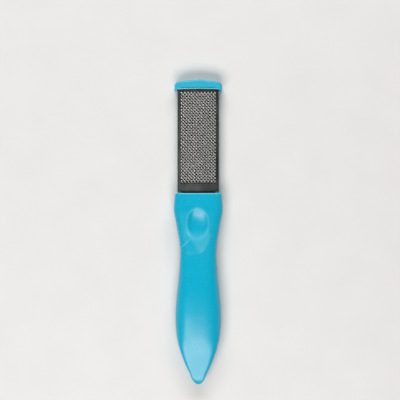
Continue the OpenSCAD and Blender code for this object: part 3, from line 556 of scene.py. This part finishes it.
def plate_section(t):
    """The plate's section at depth t below its outer face, from left to right."""
    r, bend_x, bend_z, lean = arch(PLATE_W, PLATE_TOP, PLATE_RISE, PLATE_BEND)
    k = (r - t) / r
    half = [(k * i * GRID, PLATE_TOP - r + k * sqrt(r ** 2 - (i * GRID) ** 2))
            for i in range(round(FIELD_HALF / GRID) + 1)]
    for i in range(PLATE_BEND_STEPS + 1):
        a = (pi / 2 - lean) * (1 - i / PLATE_BEND_STEPS)
        half.append((bend_x + (PLATE_BEND - t) * cos(a), bend_z + (PLATE_BEND - t) * sin(a)))
    low_x, low_z = PLATE_W / 2 - HEM_BEND, HEM_Z + HEM_BEND
    half += [(PLATE_W / 2 - t, low_z + (bend_z - low_z) * q) for q in THIRDS]
    for i in range(HEM_STEPS + 1):
        a = pi / 2 * i / HEM_STEPS
        half.append((low_x + (HEM_BEND - t) * cos(a), low_z - (HEM_BEND - t) * sin(a)))
    half.append((PLATE_W / 2 - HEM_W, HEM_Z + t))
    return [(-x, z) for x, z in reversed(half[1:])] + half


def folded_sheet(outer, inner, cells):
    """A closed sheet: outer and inner list its points in pairs, and cells its faces as places in them."""
    shape = bmesh.new()
    above, below = [shape.verts.new(p) for p in outer], [shape.verts.new(p) for p in inner]
    edges = set()
    for cell in cells:
        shape.faces.new([above[p] for p in cell])
        shape.faces.new([below[p] for p in reversed(cell)])
        edges.update(zip(cell, cell[1:] + cell[:1]))
    for a, b in sorted(edges):
        if (b, a) not in edges:
            shape.faces.new((above[b], above[a], below[a], below[b]))
    for v in [v for v in shape.verts if not v.link_faces]:
        shape.verts.remove(v)
    return shape


field_start, field_end = FIELD_Y0 - FIELD_BEFORE, FIELD_Y0 + FIELD_ROWS + FIELD_AFTER
plate_rows = [PLATE_Y0 + END_FLAT, *spaced(PLATE_Y0 + END_FLAT, field_start, HANDLE_END_STEP),
              *spaced(field_start, field_end, GRID), *spaced(field_end, PLATE_Y1, CAP_END_STEP)]
outer_line, inner_line = plate_section(0), plate_section(PLATE_T)
columns = len(outer_line)
crown = columns // 2
outer_points, inner_points, heights = [], [], []
for y in plate_rows:
    for c in range(columns):
        flat_x = (c - crown) * GRID
        in_field = abs(flat_x) <= FIELD_HALF and field_start < y < field_end
        heights.append(burr(flat_x, y) if in_field else 0)
        outer_points.append([outer_line[c][0], y, outer_line[c][1] + TOOTH_H * heights[-1]])
        inner_points.append([inner_line[c][0], y, inner_line[c][1]])

# a hole takes out a square of cells, and the points round it move to an oval that leans like the teeth
hole_cells = [(dj, dc) for dj in range(-HOLE_SPAN, HOLE_SPAN) for dc in range(-HOLE_SPAN, HOLE_SPAN)]
hole_rim = []
for dj in range(-HOLE_SPAN, HOLE_SPAN + 1):
    for dc in range(-HOLE_SPAN, HOLE_SPAN + 1):
        if max(abs(dj), abs(dc)) == HOLE_SPAN:
            x, y = dc * GRID, dj * GRID
            along, across = slanted(x, y)
            grow = 1 / hypot(along / (HOLE_LEN / 2), across / (HOLE_W / 2)) - 1
            hole_rim.append((dj, dc, x * grow, y * grow))
row_of = {round(y, 3): j for j, y in enumerate(plate_rows)}
gone = set()
for i in range(1 - FIELD_HALF, FIELD_HALF):
    for j in range(FIELD_ROWS):
        if tooth_at(i, j + 1):
            c0, j0 = crown + round(i / GRID), row_of[round(FIELD_Y0 + j, 3)]
            gone.update((j0 + dj, c0 + dc) for dj, dc in hole_cells)
            for dj, dc, move_x, move_y in hole_rim:
                for points in (outer_points, inner_points):
                    point = points[(j0 + dj) * columns + c0 + dc]
                    point[0] += move_x
                    point[1] += move_y
cells = [(j * columns + c, j * columns + c + 1, (j + 1) * columns + c + 1, (j + 1) * columns + c)
         for j in range(len(plate_rows) - 1) for c in range(columns - 1) if (j, c) not in gone]


def add_rows(span, steps):
    """More rows beyond the plate's first one over a span of columns. A step is (y, drop) of both faces."""
    before = {c: c for c in span}
    for (outer_y, outer_drop), (inner_y, inner_drop) in steps:
        now = {}
        for c in span:
            now[c] = len(outer_points)
            outer_points.append([outer_line[c][0], outer_y, outer_line[c][1] - outer_drop])
            inner_points.append([inner_line[c][0], inner_y, inner_line[c][1] - inner_drop])
            heights.append(0)
        cells.extend((now[c], now[c + 1], before[c + 1], before[c]) for c in span[:-1])
        before = now


# the end at the handle: turned down between the lugs, cut short beside them
inner_y0 = PLATE_Y0 + PLATE_T
turns = [pi / 2 * i / END_STEPS for i in range(END_STEPS + 1)]
end_steps = [((PLATE_Y0 + END_R + END_LEAD, 0), (inner_y0 + END_R + END_LEAD, 0))]
end_steps += [((PLATE_Y0 + END_R * (1 - sin(a)), END_R * (1 - cos(a))),
               (inner_y0 + END_R * (1 - sin(a)), END_R * (1 - cos(a)))) for a in turns]
end_steps += [((PLATE_Y0, END_DROP), (inner_y0, END_DROP - PLATE_T))]
bent = [c for c in range(columns) if abs(outer_line[c][0]) <= END_HALF_W]
add_rows(bent, end_steps)
for span in (list(range(bent[0] + 1)), list(range(bent[-1], columns))):
    add_rows(span, [((PLATE_Y0, 0), (PLATE_Y0, 0))])
plate = folded_sheet(outer_points, inner_points, cells)
used = sorted({p for cell in cells for p in cell})
burrs = [heights[p] for p in used] + [0] * len(used)

# Nickel-plated steel, cold rolled and then punched: fine rolling lines along the strip, drawn coarser
# than they are, a satin sheen, and teeth with a painted highlight on their crests above painted shade at their
# feet
plated_steel, tree, surface, place = new_finish("nickel_plated_steel")
lines = add_node(tree, "ShaderNodeMapping", {
    "Vector": place, "Scale": (1 / (ROLLED_W * MM), 1 / (ROLLED_LEN * MM), 1 / (ROLLED_H * MM))})
rolled = add_node(tree, "ShaderNodeTexNoise", {"Vector": lines.outputs["Vector"], "Scale": 1, "Detail": 3})
scored = add_node(tree, "ShaderNodeBump", {
    "Height": rolled.outputs["Fac"], "Strength": 0.35, "Distance": SCORE_DEPTH * MM})
cloud = add_node(tree, "ShaderNodeTexNoise", {"Vector": place, "Scale": 1 / (CLOUD_W * MM), "Detail": 3})
sheen = add_node(tree, "ShaderNodeMapRange", {
    "Value": cloud.outputs["Fac"], "From Min": 0.3, "From Max": 0.7, "To Min": 0.28, "To Max": 0.38})
crest = add_node(tree, "ShaderNodeAttribute", attribute_name="burr").outputs["Fac"]
# painted light: the flat plate's grey, painted shade low on the teeth and a painted highlight on their crests
crest_light_and_shade = add_node(tree, "ShaderNodeValToRGB", {"Fac": crest}, stops=[
    (0, linear("#838785")), (0.25, linear("#7f7e7c")), (1, linear("#a3a09c"))])
skin = add_node(tree, "ShaderNodeBsdfPrincipled", {
    "Base Color": crest_light_and_shade.outputs["Color"], "Metallic": 1, "Roughness": sheen.outputs["Result"],
    "Normal": scored.outputs["Normal"]})
tree.links.new(skin.outputs["BSDF"], surface)

rasp = make_piece("punched_plate", plate, plated_steel, marks=("burr", burrs))
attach(rasp, "root")
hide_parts("rasp_plate")


# End cap
# A moulded ABS cap pushed over the end of the carrier, where a ridge on its floor snaps in. Its lip
# and its end are curved, a shallow groove runs along the lip, and an ear runs down each side.
CAP_W, CAP_INNER_W, CAP_END_Y, CAP_TOP, CAP_RISE = 28, 25.2, 90, 9.6, 1.3
CAP_ARCH, CAP_CORNER_R, CAP_EDGE_R = 2, 2.5, 1.6
LIP_Y, LIP_ARCH, EAR_Y, EAR_CORNER = 84.5, 0.3, 83.3, 0.6
POCKET_Y, POCKET_TOP, POCKET_BEND, CAP_FLOOR = 87.4, 8.8, 1.4, 0.9
GROOVE_FROM_LIP, GROOVE_W, GROOVE_DEPTH, GROOVE_HALF = 0.6, 0.4, 0.3, 9.8
END_ROUND, LIP_BEVEL, LIP_DROP, FOOT_ROUND, SIDE_BEVEL = 1, 0.58, 0.17, 0.4, 0.6
LIP_ROUND = (0, 0.08), (0.03, 0.02), (0.06, 0)
GROOVE_BLEND, CAP_STEP, CORNER_STEP, GROOVE_STEP = 0.6, 0.6, 0.5, 0.1
CORNER_STEPS, SIDE_STEPS, ROUND_STEPS = 5, 7, 6
TOUCHING = 0.001


def arch_height(x, w, top, rise, bend):
    """Height at x of the arch that arch() describes."""
    r, bend_x, bend_z, lean = arch(w, top, rise, bend)
    x = abs(x)
    if x <= bend_x + bend * sin(lean):
        return top - r + sqrt(r * r - x * x)
    return bend_z + sqrt(max(0, bend ** 2 - (x - bend_x) ** 2))


def lip_place(x):
    """Where the lip's edge lies: curved in the middle, and turning down into the ears."""
    x = abs(x)
    r = arch(CAP_INNER_W, 0, LIP_ARCH, 0)[0]
    edge = LIP_Y - r + sqrt(r * r - min(x, CAP_INNER_W / 2) ** 2)
    q = clamped((x - CAP_INNER_W / 2 + EAR_CORNER) / EAR_CORNER)
    return edge - (edge - EAR_Y) * (1 - sqrt(1 - q * q))


def cap_outside(x):
    """(y, z) points of the cap's outer skin at x: lip, groove, top, end, and back along the bottom."""
    lip, end = lip_place(x), arch_height(x, CAP_W, CAP_END_Y, CAP_ARCH, CAP_CORNER_R)
    top = arch_height(x, CAP_W, CAP_TOP, CAP_RISE, CAP_EDGE_R)
    bottom = max(0, abs(x) - CAP_W / 2 + SIDE_BEVEL)
    quarter = [(sin(pi / 2 * i / ROUND_STEPS), cos(pi / 2 * i / ROUND_STEPS)) for i in range(ROUND_STEPS + 1)]
    line = [(lip + along, top - LIP_DROP - down) for along, down in LIP_ROUND] + [(lip + LIP_BEVEL, top)]
    near, far = LIP_Y + GROOVE_FROM_LIP, LIP_Y + GROOVE_FROM_LIP + GROOVE_W
    if abs(x) <= GROOVE_HALF + TOUCHING:
        line += [(near, top), (near, top - GROOVE_DEPTH), (far, top - GROOVE_DEPTH), (far, top)]
    else:
        line += [(near + GROOVE_W * q, top) for q in (0, 0.3, 0.7, 1)]
    line += [(far + (end - END_ROUND - far) * q, top) for q in (0.1, 0.5, 0.9)]
    line += [(end - END_ROUND * (1 - s), top - END_ROUND * (1 - c)) for s, c in quarter]
    line += [(end, bottom + FOOT_ROUND + (top - END_ROUND - bottom - FOOT_ROUND) * q) for q in THIRDS]
    line += [(end - FOOT_ROUND * (1 - c), bottom + FOOT_ROUND * (1 - s)) for s, c in quarter[::2]]
    return line + [(lip + (end - FOOT_ROUND - lip) * q, bottom) for q in (*THIRDS, 0)]


# columns from the right edge to the middle, close at the ear and the groove's end, and then mirrored
half_inner = CAP_INNER_W / 2
side_w = CAP_W / 2 - half_inner
corner_x, groove_x = half_inner - EAR_CORNER, GROOVE_HALF + GROOVE_BLEND
cap_xs = [half_inner + side_w * sin(pi / 2 * i / SIDE_STEPS) for i in range(SIDE_STEPS, 0, -1)]
cap_xs += [corner_x + EAR_CORNER * sin(pi / 2 * i / CORNER_STEPS) for i in range(CORNER_STEPS, -1, -1)]
cap_xs += spaced(corner_x, groove_x, CORNER_STEP) + spaced(groove_x, GROOVE_HALF, GROOVE_STEP)
cap_xs += spaced(GROOVE_HALF, 0, CAP_STEP)
cap_xs += [-x for x in reversed(cap_xs[:-1])]

cap = bmesh.new()
loops, pockets = [], []
for x in cap_xs:
    line = cap_outside(x)
    loops.append([cap.verts.new((x, y, z)) for y, z in line])
    lip = line[-1][0]
    inner_top = arch_height(min(abs(x), half_inner), CAP_INNER_W, POCKET_TOP, CAP_RISE, POCKET_BEND)
    pocket = [(lip, CAP_FLOOR), (POCKET_Y, CAP_FLOOR), (POCKET_Y, inner_top), (lip, inner_top)]
    if abs(x) > half_inner + TOUCHING:
        pocket = [pocket[0], pocket[3]]
    pockets.append([cap.verts.new((x, y, z)) for y, z in pocket])
for k in range(len(cap_xs) - 1):
    a, b = loops[k] + pockets[k], loops[k + 1] + pockets[k + 1]
    if len(a) == len(b):
        for i in range(len(a)):
            n = (i + 1) % len(a)
            cap.faces.new((a[i], b[i], b[n], a[n]))
        continue
    # here the pocket ends in its side wall, and the ear begins
    for i in range(len(loops[k]) - 1):
        cap.faces.new((a[i], b[i], b[i + 1], a[i + 1]))
    wide, thin = (k, k + 1) if len(a) > len(b) else (k + 1, k)
    floor, far_floor, far_roof, roof = pockets[wide]
    ear_low, ear_high = pockets[thin]
    cap.faces.new((loops[wide][-1], loops[thin][-1], ear_low, floor))
    cap.faces.new((floor, ear_low, ear_high, roof))
    cap.faces.new((roof, ear_high, loops[thin][0], loops[wide][0]))
    cap.faces.new((floor, far_floor, far_roof, roof))
cap.faces.new(loops[0] + pockets[0])
cap.faces.new(loops[-1] + pockets[-1])
bmesh.ops.recalc_face_normals(cap, faces=cap.faces)

# The handle's ABS, drawn paler and a little duller
cap_abs = moulded_abs("pale_moulded_abs", "#2bb0cd", "#25a9c8", "#39b8d2", 0.33)
end_cap = make_piece("cap", cap, cap_abs)
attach(end_cap, "root")
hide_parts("end_cap")


# Emery side
# Coated abrasive, about grit 120: grains in a dark resin on a stiff cloth-backed sheet, die cut with
# round corners and stuck into the carrier's underside with double-sided tape.
EMERY_W, EMERY_Y0, EMERY_Y1, EMERY_R = 21.6, 25.2, 81.1, 3
EMERY_Z, EMERY_T = 0.5, 0.5
GRIT_STEP, GRIT_H, GRIT_LOW, GRIT_SEED = 0.36, 0.1, 1.5, 120
GRIT_W, GRIT_DEPTH, CLOG_W = 0.3, 0.08, 5
TAPE_INSET, TAPE_T, TAPE_STEP, FIBRE_W = 0.6, 0.1, 1.2, 0.6
SHEET_CORNER_STEPS = 8


def round_cornered(w, y0, y1, r, step):
    """(x, y) points of a sheet with round corners, and its faces."""
    turns = [r * (1 - cos(pi / 2 * i / SHEET_CORNER_STEPS)) for i in range(SHEET_CORNER_STEPS + 1)]
    rows = [y0 + d for d in turns] + spaced(y0 + r, y1 - r, step) + [y1 - d for d in reversed(turns[:-1])]
    count = round(w / step)
    points = []
    for y in rows:
        near = min(y - y0, y1 - y)
        half = w / 2 - (r - sqrt(r * r - (r - near) ** 2) if near < r else 0)
        points += [(half * (2 * k / count - 1), y) for k in range(count + 1)]
    wide = count + 1
    faces = [(j * wide + k, j * wide + k + 1, (j + 1) * wide + k + 1, (j + 1) * wide + k)
             for j in range(len(rows) - 1) for k in range(count)]
    return points, faces


grit = random.Random(GRIT_SEED)
points, faces = round_cornered(EMERY_W, EMERY_Y0, EMERY_Y1, EMERY_R, GRIT_STEP)
rough = [(x, y, EMERY_Z + GRIT_H * grit.random() ** GRIT_LOW) for x, y in points]
emery_shape = folded_sheet([(x, y, EMERY_Z + EMERY_T) for x, y in points], rough, faces)

# Emery bonded in dark resin: nearly black and dull, duller where skin dust clogs it, with single grains
# painted pale as glints. The grains are drawn about three times as coarse as grit 120, so that they show
emery_coat, tree, surface, place = new_finish("resin_bonded_emery")
grains = add_node(tree, "ShaderNodeTexVoronoi", {"Vector": place, "Scale": 1 / (GRIT_W * MM)})
speck = add_node(tree, "ShaderNodeSeparateColor", {"Color": grains.outputs["Color"]}).outputs["Red"]
# a random grey for each grain, the palest painted as glints
resin_and_glints = add_node(tree, "ShaderNodeValToRGB", {"Fac": speck}, stops=[
    (0, linear("#2c2d30")), (0.6, linear("#4a4c50")), (0.9, linear("#6c6f74")), (1, linear("#b8bcc2"))])
pile = add_node(tree, "ShaderNodeBump", {
    "Height": grains.outputs["Distance"], "Strength": 0.8, "Distance": GRIT_DEPTH * MM})
spread = add_node(tree, "ShaderNodeTexNoise", {"Vector": place, "Scale": 1 / (CLOG_W * MM), "Detail": 3})
clogged = add_node(tree, "ShaderNodeMapRange", {"Value": spread.outputs["Fac"], "To Min": 0.62, "To Max": 0.85})
skin = add_node(tree, "ShaderNodeBsdfPrincipled", {
    "Base Color": resin_and_glints.outputs["Color"], "Roughness": clogged.outputs["Result"],
    "Normal": pile.outputs["Normal"]})
tree.links.new(skin.outputs["BSDF"], surface)
emery = make_piece("emery_strip", emery_shape, emery_coat)
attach(emery, "root")
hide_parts("emery_sheet")

# Acrylic tape with a paper core: dull, off white and faintly fibrous, between the sheet and the carrier
tape_paper, tree, surface, place = new_finish("acrylic_coated_paper")
fibre = add_node(tree, "ShaderNodeTexNoise", {"Vector": place, "Scale": 1 / (FIBRE_W * MM), "Detail": 4})
paper = add_node(tree, "ShaderNodeValToRGB", {"Fac": fibre.outputs["Fac"]},
                 stops=[(0.3, linear("#d8d0ba")), (0.7, linear("#ece6d6"))])
skin = add_node(tree, "ShaderNodeBsdfPrincipled", {"Base Color": paper.outputs["Color"], "Roughness": 0.55})
tree.links.new(skin.outputs["BSDF"], surface)
tape_z = EMERY_Z + EMERY_T
points, faces = round_cornered(EMERY_W - 2 * TAPE_INSET, EMERY_Y0 + TAPE_INSET, EMERY_Y1 - TAPE_INSET,
                               EMERY_R - TAPE_INSET, TAPE_STEP)
tape_shape = folded_sheet([(x, y, tape_z + TAPE_T) for x, y in points],
                          [(x, y, tape_z) for x, y in points], faces)
tape = make_piece("tape_strip", tape_shape, tape_paper)
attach(tape, "root")
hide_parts("adhesive_tape")
